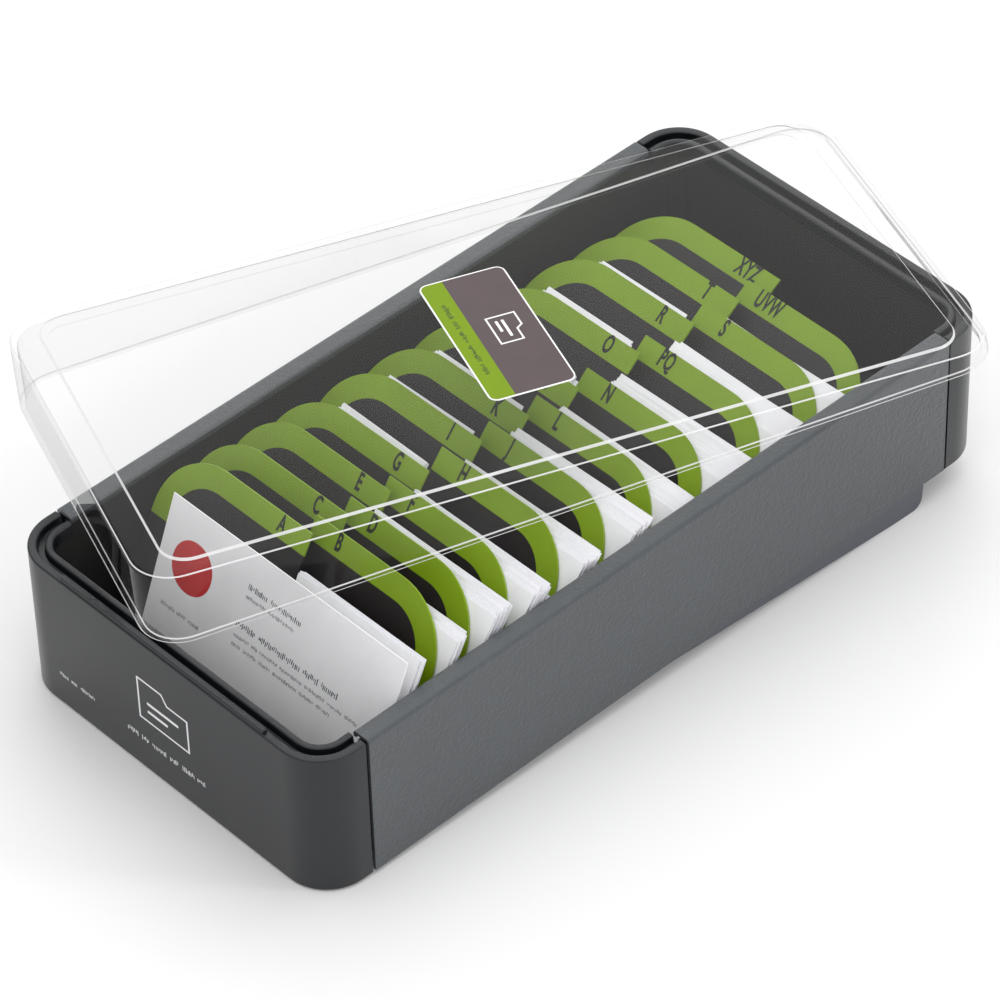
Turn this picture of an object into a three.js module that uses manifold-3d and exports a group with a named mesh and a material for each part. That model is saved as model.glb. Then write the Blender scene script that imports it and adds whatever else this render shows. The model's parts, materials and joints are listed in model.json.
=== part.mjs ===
// Desk box for filing business cards: a sheet-sided tray on a folding prop stand, an A to Z set of
// leaning index sheets with packs of cards between them, and a clear lid laid loosely across the top.
// Millimetres, +X right, +Y to the rear, +Z up. The desk is z = 0 and the open front end faces -Y.
import * as THREE from 'three';
import Module from 'manifold-3d';
import { mergeVertices } from 'three/addons/utils/BufferGeometryUtils.js';

const wasm = await Module();
wasm.setup();

// Tray, measured in its own untilted frame: z = 0 is the lower edge of the side panels
const TRAY_LENGTH = 250;
const PANEL_HALF_WIDTH = 61;
const PANEL_HALF_LENGTH = 107.3;
const PANEL_HEIGHT = 47.6;
const SHEET_METAL = 1;
const BEND_RADIUS = 1.2;
const FLANGE_WIDTH = 5.9;
const FLANGE_LIP = 2;

// Moulded end caps: a rounded shell whose top carries an outer bead, a groove and an inner rim
const CAP_HALF_WIDTH = 60.8;
const CAP_INNER_EDGE = 108.2;
const CAP_CORNER = 13.5;
const CAP_BOTTOM = -0.8;
const CAP_TOP = 47.2;
const CAP_WALL = 2;
const CAP_FLOOR = 1.4;
const CAP_EDGE = 1;
const RIM_UNDERSIDE = 42.5;
const RIM_WIDTH = 6.9;
const INNER_RIM_TOP = 46.9;
const GROOVE_START = 2.6;
const GROOVE_WIDTH = 2;
const GROOVE_BOTTOM = 44.6;
const BAR_HALF_LENGTH = 40;
const BAR_INSET = 0.5;
const BAR_WIDTH = 2;
const BAR_TOP = 48.2;

// Dark inner tray that holds the cards
const LINER_HALF_WIDTH = 57.8;
const LINER_HALF_LENGTH = 119.4;
const LINER_WALL = 1;
const LINER_CORNER = 8;
const LINER_BOTTOM = 4;
const FLOOR_TOP = 5;
const LINER_TOP = 45.4;
const LINER_END_TOP = 42.2;

// Prop stand: two cheeks in the slots beside the inner tray, joined by a plate under its floor
const STAND_PIVOT_Y = -21;
const STAND_PIVOT_Z = 4.5;
const STAND_ANGLE = 4.9;
const STAND_LENGTH = 121.5;
const CHEEK_OUTER = 59.8;
const CHEEK_THICKNESS = 1.2;
const CHEEK_BOTTOM = -4.2;
const CHEEK_REAR_TOP = 7.8;
const CHEEK_CORNER = 3.5;
const EYE_RADIUS = 3.8;
const EYE_HOLE_RADIUS = 1.9;
const SKID_START = 111;
const PLATE_START = 62;
const PLATE_END = 117.5;
const PIN_RADIUS = 1.6;
const PIN_START = 57.85;
const PIN_END = 59.95;

// Leaning sheets and packs
const SHEET_LIFT = 0.2;
const TAB_HEIGHT = 60.1;
const SHOULDER_HEIGHT = 46;
const INDEX_HALF_WIDTH = 50.6;
const TAB_OVERLAP = 2.6;
const TAB_CORNER = 20;
const SHOULDER_CORNER = 4;
const INDEX_THICKNESS = 0.6;
const FIRST_LEAN = 29.1;
const LEAN_STEP = 1.4;
const FIRST_INDEX_Y = -102.4;
const CARD_LEFT = -36;
const CARD_RIGHT = 54;
const CARD_HEIGHT = 55;
const CARD_THICKNESS = 0.4;
const LOW_CARD_HEIGHT = 44;
const PACK_STEP = 3;
const PACK_GAP = 0.3;
const FRONT_CARD_Y = -107.5;
const FRONT_CARD_LEAN = 21.7;
const FRONT_PACK_Y = -106.2;
const FRONT_PACK_LEAN = 26;
const FRONT_PACK_THICKNESS = 2;
const FRONT_PACK_HEIGHT = 53.5;
const FRONT_PACK_STEP = 8;

// Index sheets from front to rear: letters, distance along the floor to the next sheet, and the height
// of the pack of cards that fills that space (0 where it is empty). Tabs alternate, the first at the left
const INDEX_SHEETS = [
  ['a', 5, 0],
  ['b', 5, 53],
  ['c', 4.5, 0],
  ['d', 8, 55],
  ['e', 3.5, 0],
  ['f', 8, 55],
  ['g', 8.5, 55],
  ['h', 8.5, 54],
  ['i', 6.5, 56],
  ['j', 8.5, 56],
  ['k', 7, 56],
  ['l', 9.5, 54],
  ['m', 7.5, 57],
  ['n', 14, 53],
  ['o', 6.5, 57],
  ['pq', 12.5, 54],
  ['r', 8, 55],
  ['s', 8, 54],
  ['t', 8, 0],
  ['uvw', 6.5, 0],
  ['xyz', 0, 0],
];

// Lid: a clear wedge-shaped shell, deep at the front, with a raised panel on top
const LID_HALF_LENGTH = 120;
const LID_HALF_WIDTH = 59.4;
const LID_CORNER = 12;
const LID_FRONT_HEIGHT = 22.9;
const LID_REAR_HEIGHT = 5.6;
const LID_WALL = 1.8;
const LID_DRAFT = 0.5;
const LID_EDGE = 1;
const PANEL_STEP = 1;
const RAISED_HALF_WIDTH = 54.6;
const RAISED_HALF_LENGTH = 111.5;
const RAISED_CORNER = 8;
const LID_POSITION = [-4.1, 1.2, 61.8];
const LID_YAW = -21.22;
const LID_PITCH = 3.18;
const LID_ROLL = -3.04;
const LABEL_CENTRE_X = 1;
const LABEL_HALF_WIDTH = 26.7;
const LABEL_HALF_DEPTH = 12.3;
const LABEL_CORNER = 1.5;
const LABEL_THICKNESS = 0.3;
const LABEL_GAP = 0.05;

const CORNER_STEPS = 6;
const ROUND_STEPS = 32;
const CUTTER_MARGIN = 20;

const rad = THREE.MathUtils.degToRad;

// ---- outlines -------------------------------------------------------------------------------------

// Points on an arc, both ends included; angles in degrees
function arc(x, y, radius, start, end, steps = CORNER_STEPS) {
  const points = [];
  for (let i = 0; i <= steps; i += 1) {
    const angle = rad(start + ((end - start) * i) / steps);
    points.push(new THREE.Vector2(x + radius * Math.cos(angle), y + radius * Math.sin(angle)));
  }
  return points;
}

// Anticlockwise rectangle with rounded corners, centred on the origin
function roundedRectangle(halfX, halfY, radius) {
  const x = halfX - radius;
  const y = halfY - radius;
  return [
    ...arc(x, y, radius, 0, 90),
    ...arc(-x, y, radius, 90, 180),
    ...arc(-x, -y, radius, 180, 270),
    ...arc(x, -y, radius, 270, 360),
  ];
}

function rectangle(left, bottom, right, top) {
  return [
    new THREE.Vector2(left, bottom),
    new THREE.Vector2(right, bottom),
    new THREE.Vector2(right, top),
    new THREE.Vector2(left, top),
  ];
}

// Mirrors an outline about the vertical axis and keeps it anticlockwise
function mirrored(outline) {
  return outline.map((point) => new THREE.Vector2(-point.x, point.y)).reverse();
}

// ---- solids ---------------------------------------------------------------------------------------

// Closes a run of matching rings into one body: walls between neighbours and a cap on each end.
// Rings are anticlockwise seen from the side the run heads towards.
function skin(rings, flatten) {
  const count = rings[0].length;
  const last = (rings.length - 1) * count;
  const faces = [];
  for (let start = 0; start < last; start += count) {
    for (let i = 0; i < count; i += 1) {
      const a = start + i;
      const b = start + ((i + 1) % count);
      faces.push(a, b, b + count, a, b + count, a + count);
    }
  }
  for (const [a, b, c] of THREE.ShapeUtils.triangulateShape(rings[0].map(flatten), [])) {
    faces.push(c, b, a);
  }
  for (const [a, b, c] of THREE.ShapeUtils.triangulateShape(rings.at(-1).map(flatten), [])) {
    faces.push(last + a, last + b, last + c);
  }
  const positions = rings.flat().flatMap((point) => point.toArray());
  const geometry = new THREE.BufferGeometry();
  geometry.setAttribute('position', new THREE.Float32BufferAttribute(positions, 3));
  geometry.setIndex(faces);
  return geometry;
}

const seenFromAbove = (point) => new THREE.Vector2(point.x, point.y);
const seenFromFront = (point) => new THREE.Vector2(point.x, point.z);
const seenFromRight = (point) => new THREE.Vector2(point.y, point.z);

// Ring lying level, or with a height that changes along the length
function levelRing(outline, height) {
  const heightAt = typeof height === 'function' ? height : () => height;
  return outline.map((point) => new THREE.Vector3(point.x, point.y, heightAt(point.y)));
}

function prismZ(outline, bottom, top) {
  return skin([levelRing(outline, bottom), levelRing(outline, top)], seenFromAbove);
}

// Outline in (x, z) drawn out along the length, from the rear to the front
function prismY(outline, front, rear) {
  const ring = (y) => outline.map((point) => new THREE.Vector3(point.x, y, point.y));
  return skin([ring(rear), ring(front)], seenFromFront);
}

// Outline in (y, z) drawn out across the width, from left to right
function prismX(outline, left, right) {
  const ring = (x) => outline.map((point) => new THREE.Vector3(x, point.x, point.y));
  return skin([ring(left), ring(right)], seenFromRight);
}

// Upright outline in (x, height along the sheet) leaning to the rear, drawn out level to the rear so
// that its foot and its top stay horizontal
function leaningPrism(outline, lean, thickness) {
  const depth = thickness / Math.cos(rad(lean));
  const ring = (y) => outline.map((point) => new THREE.Vector3(
    point.x,
    y + point.y * Math.sin(rad(lean)),
    point.y * Math.cos(rad(lean)),
  ));
  return skin([ring(depth), ring(0)], seenFromFront);
}

function solid(geometry) {
  const bare = new THREE.BufferGeometry();
  bare.setAttribute('position', geometry.getAttribute('position'));
  bare.setIndex(geometry.getIndex());
  const welded = mergeVertices(bare);
  return new wasm.Manifold(new wasm.Mesh({
    numProp: 3,
    vertProperties: new Float32Array(welded.getAttribute('position').array),
    triVerts: new Uint32Array(welded.getIndex().array),
  }));
}

function geometryOf(body) {
  const mesh = body.getMesh();
  const geometry = new THREE.BufferGeometry();
  geometry.setAttribute('position', new THREE.BufferAttribute(mesh.vertProperties, 3));
  geometry.setIndex(new THREE.BufferAttribute(mesh.triVerts, 1));
  return geometry;
}

const box = (x0, y0, z0, x1, y1, z1) => solid(prismZ(rectangle(x0, y0, x1, y1), z0, z1));

// ---- materials ------------------------------------------------------------------------------------

const FINISHES = {
  panel: { color: 0x6c7375, roughness: 0.5, metalness: 0.3 },
  cap: { color: 0x44484a, roughness: 0.45 },
  liner: { color: 0x222426, roughness: 0.55 },
  stand: { color: 0x5f6468, roughness: 0.45, metalness: 0.3 },
  pin: { color: 0x9a9c9e, roughness: 0.3, metalness: 0.9 },
  index: { color: 0x8fae12, roughness: 0.5 },
  card: { color: 0xf2f3f5, roughness: 0.8 },
  lid: { color: 0xdfe6e8, roughness: 0.05, transparent: true, opacity: 0.35 },
  label: { color: 0x4a4442, roughness: 0.6 },
};

function part(name, geometry, finish) {
  geometry.computeVertexNormals();
  const mesh = new THREE.Mesh(geometry, new THREE.MeshStandardMaterial(FINISHES[finish]));
  mesh.name = name;
  return mesh;
}

// ---- tray -----------------------------------------------------------------------------------------

// Folded sheet: outer face, rolled top edge, inward flange and a short lip turned down
function panelOutline() {
  const inside = PANEL_HALF_WIDTH - SHEET_METAL;
  const flangeEdge = PANEL_HALF_WIDTH - FLANGE_WIDTH;
  const underside = PANEL_HEIGHT - SHEET_METAL;
  return [
    new THREE.Vector2(inside, 0),
    new THREE.Vector2(PANEL_HALF_WIDTH, 0),
    ...arc(PANEL_HALF_WIDTH - BEND_RADIUS, PANEL_HEIGHT - BEND_RADIUS, BEND_RADIUS, 0, 90, 4),
    ...arc(flangeEdge + SHEET_METAL, PANEL_HEIGHT - SHEET_METAL, SHEET_METAL, 90, 180, 3),
    new THREE.Vector2(flangeEdge, PANEL_HEIGHT - FLANGE_LIP),
    new THREE.Vector2(flangeEdge + SHEET_METAL, PANEL_HEIGHT - FLANGE_LIP),
    new THREE.Vector2(flangeEdge + SHEET_METAL, underside),
    new THREE.Vector2(inside, underside),
  ];
}

function sidePanel(side) {
  const outline = side > 0 ? panelOutline() : mirrored(panelOutline());
  return prismY(outline, -PANEL_HALF_LENGTH, PANEL_HALF_LENGTH);
}

function capOutline(inset) {
  return roundedRectangle(CAP_HALF_WIDTH - inset, TRAY_LENGTH / 2 - inset, CAP_CORNER - inset);
}

// The front cap; the rear one is the same moulding turned round, without the raised bar
function endCap(withBar) {
  const shell = solid(skin([
    levelRing(capOutline(CAP_EDGE), CAP_BOTTOM),
    levelRing(capOutline(CAP_EDGE / 4), CAP_BOTTOM + CAP_EDGE / 4),
    levelRing(capOutline(0), CAP_BOTTOM + CAP_EDGE),
    levelRing(capOutline(0), CAP_TOP - CAP_EDGE / 2),
    levelRing(capOutline(CAP_EDGE / 2), CAP_TOP),
  ], seenFromAbove));
  const hollow = solid(prismZ(capOutline(CAP_WALL), CAP_BOTTOM + CAP_FLOOR, RIM_UNDERSIDE));
  const pocket = solid(prismZ(capOutline(RIM_WIDTH), RIM_UNDERSIDE - CUTTER_MARGIN, CAP_TOP + CUTTER_MARGIN));
  const grooveOuter = solid(prismZ(capOutline(GROOVE_START), GROOVE_BOTTOM, CAP_TOP + CUTTER_MARGIN));
  const grooveInner = solid(skin([
    levelRing(capOutline(GROOVE_START + GROOVE_WIDTH), GROOVE_BOTTOM - 1),
    levelRing(capOutline(GROOVE_START + GROOVE_WIDTH), INNER_RIM_TOP - 0.5),
    levelRing(capOutline(GROOVE_START + GROOVE_WIDTH + 0.5), INNER_RIM_TOP),
  ], seenFromAbove));
  const groove = grooveOuter.subtract(grooveInner);
  const end = box(
    -CAP_HALF_WIDTH - CUTTER_MARGIN, -TRAY_LENGTH, CAP_BOTTOM - CUTTER_MARGIN,
    CAP_HALF_WIDTH + CUTTER_MARGIN, -CAP_INNER_EDGE, CAP_TOP + CUTTER_MARGIN,
  );
  let cap = shell.subtract(hollow).subtract(pocket).subtract(groove).intersect(end);
  if (withBar) {
    const outline = roundedRectangle(BAR_HALF_LENGTH, BAR_WIDTH / 2, BAR_WIDTH / 2 - 0.05);
    const y = -TRAY_LENGTH / 2 + BAR_INSET + BAR_WIDTH / 2;
    const bar = solid(prismZ(outline, CAP_TOP - 1, BAR_TOP)).translate([0, y, 0]);
    cap = cap.add(bar);
  }
  return geometryOf(cap);
}

// Open box with rounded corners; its ends drop lower to pass under the rims of the caps
function innerTray() {
  const outer = roundedRectangle(LINER_HALF_WIDTH, LINER_HALF_LENGTH, LINER_CORNER);
  const inner = roundedRectangle(
    LINER_HALF_WIDTH - LINER_WALL, LINER_HALF_LENGTH - LINER_WALL, LINER_CORNER - LINER_WALL,
  );
  let tray = solid(skin([
    levelRing(outer, LINER_BOTTOM),
    levelRing(outer, LINER_TOP),
    levelRing(inner, LINER_TOP),
    levelRing(inner, FLOOR_TOP),
  ], seenFromAbove));
  for (const end of [-1, 1]) {
    const near = end * PANEL_HALF_LENGTH;
    const far = end * TRAY_LENGTH;
    tray = tray.subtract(box(
      -PANEL_HALF_WIDTH, Math.min(near, far), LINER_END_TOP,
      PANEL_HALF_WIDTH, Math.max(near, far), LINER_TOP + CUTTER_MARGIN,
    ));
  }
  return geometryOf(tray);
}

// ---- prop stand, in the frame of its pivot with the rear end folded flush ---------------------------

// Slope that the skid needs so that it lies flat on the desk when the stand is out
const skidStart = new THREE.Vector2(SKID_START, CHEEK_BOTTOM).rotateAround(
  new THREE.Vector2(), rad(-STAND_ANGLE),
);
const FRONT_FOOT_Y = -TRAY_LENGTH / 2 + CAP_EDGE;
const TRAY_TILT = Math.atan2(
  CAP_BOTTOM - skidStart.y - STAND_PIVOT_Z,
  skidStart.x + STAND_PIVOT_Y - FRONT_FOOT_Y,
);
const TRAY_LIFT = -(FRONT_FOOT_Y * Math.sin(TRAY_TILT) + CAP_BOTTOM * Math.cos(TRAY_TILT));
const SKID_SLOPE = Math.tan(rad(STAND_ANGLE) - TRAY_TILT);

function skidHeight(y) {
  return CHEEK_BOTTOM + (y - SKID_START) * SKID_SLOPE;
}

function cheekOutline() {
  const cornerY = STAND_LENGTH - CHEEK_CORNER;
  return [
    ...arc(0, 0, EYE_RADIUS, 90, 250, 10),
    new THREE.Vector2(0, CHEEK_BOTTOM),
    new THREE.Vector2(SKID_START, CHEEK_BOTTOM),
    new THREE.Vector2(cornerY, skidHeight(cornerY)),
    ...arc(cornerY, skidHeight(cornerY) + CHEEK_CORNER, CHEEK_CORNER, 275, 360),
    new THREE.Vector2(STAND_LENGTH, CHEEK_REAR_TOP),
  ];
}

function propStand() {
  const eye = arc(0, 0, EYE_HOLE_RADIUS, 0, 360 - 360 / ROUND_STEPS, ROUND_STEPS - 1);
  const plateOutline = [
    new THREE.Vector2(PLATE_START, CHEEK_BOTTOM),
    new THREE.Vector2(SKID_START, CHEEK_BOTTOM),
    new THREE.Vector2(PLATE_END, skidHeight(PLATE_END)),
    new THREE.Vector2(PLATE_END, skidHeight(PLATE_END) + CHEEK_THICKNESS),
    new THREE.Vector2(SKID_START, CHEEK_BOTTOM + CHEEK_THICKNESS),
    new THREE.Vector2(PLATE_START, CHEEK_BOTTOM + CHEEK_THICKNESS),
  ];
  let stand = solid(prismX(plateOutline, -CHEEK_OUTER, CHEEK_OUTER));
  for (const [left, right] of [
    [-CHEEK_OUTER, -CHEEK_OUTER + CHEEK_THICKNESS],
    [CHEEK_OUTER - CHEEK_THICKNESS, CHEEK_OUTER],
  ]) {
    stand = stand.add(solid(prismX(cheekOutline(), left, right)));
  }
  stand = stand.subtract(solid(prismX(eye, -PANEL_HALF_WIDTH, PANEL_HALF_WIDTH)));
  return geometryOf(stand);
}

function pivotPin(side) {
  const outline = arc(0, 0, PIN_RADIUS, 0, 360 - 360 / ROUND_STEPS, ROUND_STEPS - 1);
  const ends = [side * PIN_START, side * PIN_END].sort((a, b) => a - b);
  return prismX(outline, ...ends);
}

// ---- index sheets and cards -------------------------------------------------------------------------

// Index sheet with its tall rounded tab on the left; the right half stops at the shoulder
function indexOutline() {
  const shoulder = INDEX_HALF_WIDTH - SHOULDER_CORNER;
  return [
    new THREE.Vector2(-INDEX_HALF_WIDTH, 0),
    new THREE.Vector2(INDEX_HALF_WIDTH, 0),
    ...arc(shoulder, SHOULDER_HEIGHT - SHOULDER_CORNER, SHOULDER_CORNER, 0, 90, 4),
    new THREE.Vector2(TAB_OVERLAP, SHOULDER_HEIGHT),
    new THREE.Vector2(TAB_OVERLAP, TAB_HEIGHT),
    ...arc(-INDEX_HALF_WIDTH + TAB_CORNER, TAB_HEIGHT - TAB_CORNER, TAB_CORNER, 90, 180, 10),
  ];
}

// Packs stand high only where the tab in front of them is high
function packOutline(side, step, height) {
  const [leftTop, rightTop] = side > 0 ? [LOW_CARD_HEIGHT, height] : [height, LOW_CARD_HEIGHT];
  return [
    new THREE.Vector2(CARD_LEFT, 0),
    new THREE.Vector2(CARD_RIGHT, 0),
    new THREE.Vector2(CARD_RIGHT, rightTop),
    new THREE.Vector2(step, rightTop),
    new THREE.Vector2(step, leftTop),
    new THREE.Vector2(CARD_LEFT, leftTop),
  ];
}

function standing(name, outline, lean, thickness, y, finish) {
  const mesh = part(name, leaningPrism(outline, lean, thickness), finish);
  mesh.position.set(0, y, FLOOR_TOP + SHEET_LIFT);
  return mesh;
}

function indexAndCards() {
  const group = new THREE.Group();
  const wholeCard = rectangle(CARD_LEFT, 0, CARD_RIGHT, CARD_HEIGHT);
  group.add(standing('front_card', wholeCard, FRONT_CARD_LEAN, CARD_THICKNESS, FRONT_CARD_Y, 'card'));
  const frontPack = packOutline(1, FRONT_PACK_STEP, FRONT_PACK_HEIGHT);
  group.add(standing(
    'card_pack_front', frontPack, FRONT_PACK_LEAN, FRONT_PACK_THICKNESS, FRONT_PACK_Y, 'card',
  ));
  let y = FIRST_INDEX_Y;
  INDEX_SHEETS.forEach(([letters, step, packHeight], order) => {
    const lean = FIRST_LEAN + LEAN_STEP * order;
    const side = order % 2 === 0 ? -1 : 1;
    const outline = side < 0 ? indexOutline() : mirrored(indexOutline());
    group.add(standing(`index_sheet_${letters}`, outline, lean, INDEX_THICKNESS, y, 'index'));
    if (packHeight > 0) {
      const squareStep = step * Math.cos(rad(lean));
      const thickness = squareStep - INDEX_THICKNESS - 2 * PACK_GAP;
      const pack = packOutline(side, side * PACK_STEP, packHeight);
      const packY = y + (INDEX_THICKNESS + PACK_GAP) / Math.cos(rad(lean));
      group.add(standing(`card_pack_${letters}`, pack, lean, thickness, packY, 'card'));
    }
    y += step;
  });
  return group;
}

// ---- lid, in its own frame: z = 0 is the bottom rim ---------------------------------------------------

// Height of the sloping top above the rim; lift raises or lowers it as a whole
function lidTop(lift) {
  return (y) => {
    const along = (y + LID_HALF_LENGTH) / (2 * LID_HALF_LENGTH);
    return THREE.MathUtils.lerp(LID_FRONT_HEIGHT, LID_REAR_HEIGHT, along) + lift;
  };
}

function lidOutline(inset) {
  return roundedRectangle(LID_HALF_WIDTH - inset, LID_HALF_LENGTH - inset, LID_CORNER - inset);
}

function raisedOutline(inset) {
  return roundedRectangle(RAISED_HALF_WIDTH - inset, RAISED_HALF_LENGTH - inset, RAISED_CORNER - inset);
}

function lidShell() {
  const inside = LID_WALL + LID_DRAFT;
  return skin([
    levelRing(raisedOutline(LID_WALL + PANEL_STEP), lidTop(PANEL_STEP - LID_WALL)),
    levelRing(raisedOutline(LID_WALL), lidTop(-LID_WALL)),
    levelRing(lidOutline(inside + LID_EDGE), lidTop(-LID_WALL)),
    levelRing(lidOutline(inside), lidTop(-LID_WALL - LID_EDGE)),
    levelRing(lidOutline(LID_WALL), 0),
    levelRing(lidOutline(0), 0),
    levelRing(lidOutline(LID_DRAFT), lidTop(-LID_EDGE)),
    levelRing(lidOutline(LID_DRAFT + LID_EDGE * 0.3), lidTop(-LID_EDGE * 0.3)),
    levelRing(lidOutline(LID_DRAFT + LID_EDGE), lidTop(0)),
    levelRing(raisedOutline(0), lidTop(0)),
    levelRing(raisedOutline(PANEL_STEP), lidTop(PANEL_STEP)),
  ], seenFromAbove);
}

function lidLabel() {
  const outline = roundedRectangle(LABEL_HALF_WIDTH, LABEL_HALF_DEPTH, LABEL_CORNER);
  const placed = outline.map((point) => new THREE.Vector2(point.x + LABEL_CENTRE_X, point.y));
  const underside = PANEL_STEP + LABEL_GAP;
  return skin([
    levelRing(placed, lidTop(underside)),
    levelRing(placed, lidTop(underside + LABEL_THICKNESS)),
  ], seenFromAbove);
}

// ---- assembly -----------------------------------------------------------------------------------------

const tray = new THREE.Group();
tray.add(part('inner_tray', innerTray(), 'liner'));
tray.add(part('side_panel_left', sidePanel(-1), 'panel'));
tray.add(part('side_panel_right', sidePanel(1), 'panel'));
tray.add(part('front_cap', endCap(true), 'cap'));
const rearCap = part('rear_cap', endCap(false), 'cap');
rearCap.rotation.z = Math.PI;
tray.add(rearCap);

const stand = new THREE.Group();
stand.position.set(0, STAND_PIVOT_Y, STAND_PIVOT_Z);
const propped = part('prop_stand', propStand(), 'stand');
propped.rotation.x = rad(-STAND_ANGLE);
stand.add(propped);
stand.add(part('stand_pivot_left', pivotPin(-1), 'pin'));
stand.add(part('stand_pivot_right', pivotPin(1), 'pin'));
tray.add(stand);

tray.add(indexAndCards());

const lid = new THREE.Group();
lid.position.set(...LID_POSITION);
lid.rotation.set(rad(LID_PITCH), rad(LID_ROLL), rad(LID_YAW), 'ZXY');
lid.add(part('lid', lidShell(), 'lid'));
lid.add(part('lid_label', lidLabel(), 'label'));
tray.add(lid);

tray.rotation.x = TRAY_TILT;
tray.position.z = TRAY_LIFT;

const filingBox = new THREE.Group();
filingBox.add(tray);

export default filingBox;
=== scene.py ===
import json
import math
import random

import bmesh
import bpy
from mathutils import Matrix, Vector


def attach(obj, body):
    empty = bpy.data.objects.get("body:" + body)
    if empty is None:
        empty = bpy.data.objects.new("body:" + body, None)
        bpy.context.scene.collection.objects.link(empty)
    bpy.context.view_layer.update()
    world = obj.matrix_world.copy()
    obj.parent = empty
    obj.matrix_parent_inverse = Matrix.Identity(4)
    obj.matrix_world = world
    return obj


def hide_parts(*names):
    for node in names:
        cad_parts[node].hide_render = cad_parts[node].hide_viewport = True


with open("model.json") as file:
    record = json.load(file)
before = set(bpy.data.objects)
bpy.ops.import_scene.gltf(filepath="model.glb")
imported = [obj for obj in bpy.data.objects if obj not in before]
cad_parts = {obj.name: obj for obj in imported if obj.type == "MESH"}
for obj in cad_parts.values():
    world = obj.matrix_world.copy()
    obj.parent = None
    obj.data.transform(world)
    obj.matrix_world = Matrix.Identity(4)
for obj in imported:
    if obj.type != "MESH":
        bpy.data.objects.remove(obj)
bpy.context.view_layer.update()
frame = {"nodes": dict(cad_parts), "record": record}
RECORD = frame["record"]
JOINTS = {joint["name"]: joint for joint in RECORD["behaviour"]["joints"]}
MOUNTS = {mount["name"]: mount for mount in RECORD["mounts"]}
rng = random.Random(7)

# ---- sizes in millimetres, in the untilted frame of the tray -------------------------------------
MM = 0.001
LINER_BOTTOM = 4
HALF_LENGTH = 125
CAP_HALF_WIDTH = 60.8
CAP_INNER_EDGE = 108.2
CAP_CORNER = 13.5
CAP_SHARPEST_CORNER = 0.4
CAP_BOTTOM = -0.8
CAP_TOP = 47.2
CAP_GROOVE = 44.6
CAP_BEAD_TOP = 46.9
CAP_BEAD_BOTTOM = 42.6
CAP_BEAD_INSET = 6.9
CAP_WALL = 2
CAP_FLOOR = 0.6
CAP_LIP_INSET = 12
CAP_FLOOR_INSET = CAP_LIP_INSET + 0.05

GRIP_HALF_LENGTH = 40
GRIP_END_LENGTH = 0.9
GRIP_END_STEPS = 8
GRIP_END_WIDTH = 0.08
GRIP_OUTER = 0.5
GRIP_MIDDLE = 1.42
GRIP_INNER = 2.35
GRIP_TOP = 48.2
GRIP_SUNK = 0.3
GRIP_CHAMFER_WIDTH = 0.25
GRIP_CHAMFER_HEIGHT = 0.3

INDEX_HALF_WIDTH = 50.6
TAB_HEIGHT = 60.1
TAB_CORNER = 20
TAB_OVERLAP = 2.6
SHOULDER = 46
SHOULDER_CORNER = 4
BAND_WIDTH = 6.8
BAND_END = 37.5
INDEX_THICKNESS = 0.6
FIRST_LEAN = 29.1
LEAN_STEP = 1.4
LETTER_SIZE = 7.2
LETTER_NARROWING = 0.52
LETTER_SPACING = 1.1
LETTER_BOLDNESS = 0.22
LETTER_DEPTH = 0.02
LETTER_PROUD = 0.03
LETTER_X = 7.6
LETTER_DROP = 2.9

CARD_LEFT = -36
CARD_RIGHT = 54
CARD_HEIGHT = 55
LOW_CARD = 44
CARD_HALF_WIDTH = (CARD_RIGHT - CARD_LEFT) / 2
CARD_PITCH = 0.36
CARD_THICKNESS = 0.29
CARD_TURN_CENTRE = ((CARD_LEFT + CARD_RIGHT) / 2, 0, 27)
CARD_TURN = 0.8
CARD_SLIDE = (-1, 0.6)
CARD_RISE = (0, 0.6)
CARD_HEADROOM = 0.7
CARD_CLEARANCE = 0.15
CAD_TOLERANCE = 0.1
PACK_SPREAD = 0.8
FRONT_PACK_SPREAD = 1.0
FRONT_LEAN = 21.7
FRONT_PACK_LEAN = 26
FRONT_CARD_THICKNESS = 0.35
FRONT_CARD_BOTTOM = 0.2

PRINT_SUNK = 0.01
TICK_WIDTH = (0.12, 0.2)
TICK_PITCH = (0.3, 0.42)
TICK_RAISED = (0, 0, 0.3)
TICK_LOWERED = (0, 0.25, 0.25)

LID_POSITION = (-4.1, 1.2, 61.8)
LID_YAW = -21.22
LID_PITCH = 3.18
LID_ROLL = -3.04
LID_HALF_WIDTH = 59.35
LID_HALF_LENGTH = 119.95
LID_CORNER = 12
LID_FRONT = 22.9
LID_REAR = 5.6
LID_WALL = 1.8
LID_DRAFT = 0.5
LID_OUTER_SHOULDER = 1.4
LID_INNER_SHOULDER = 1.0
LID_SHOULDER_STEPS = 5
RAISED_HALF_WIDTH = 54.6
RAISED_HALF_LENGTH = 111.5
RAISED_CORNER = 8
RAISED_STEP = 1
LABEL_X = 1
LABEL_HALF_WIDTH = 26.7
LABEL_HALF_DEPTH = 12.3
LABEL_CORNER = 2.6
LABEL_EDGE = 0.45
LABEL_FIELD_CORNER = 2
LABEL_STRIPE = 7
LABEL_THICKNESS = 0.2
LABEL_FIELD_PROUD = 0.23
LABEL_LIFT = 0.06

# ---- frames --------------------------------------------------------------------------------------
underside = MOUNTS["tray_underside"]
TILT = math.atan2(underside["axis"][1], -underside["axis"][2])
LIFT = underside["pos_m"][2] / MM - LINER_BOTTOM * math.cos(TILT)
ROW = Matrix.Scale(MM, 4)
TRAY = ROW @ Matrix.Translation((0, 0, LIFT)) @ Matrix.Rotation(TILT, 4, "X")


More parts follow.
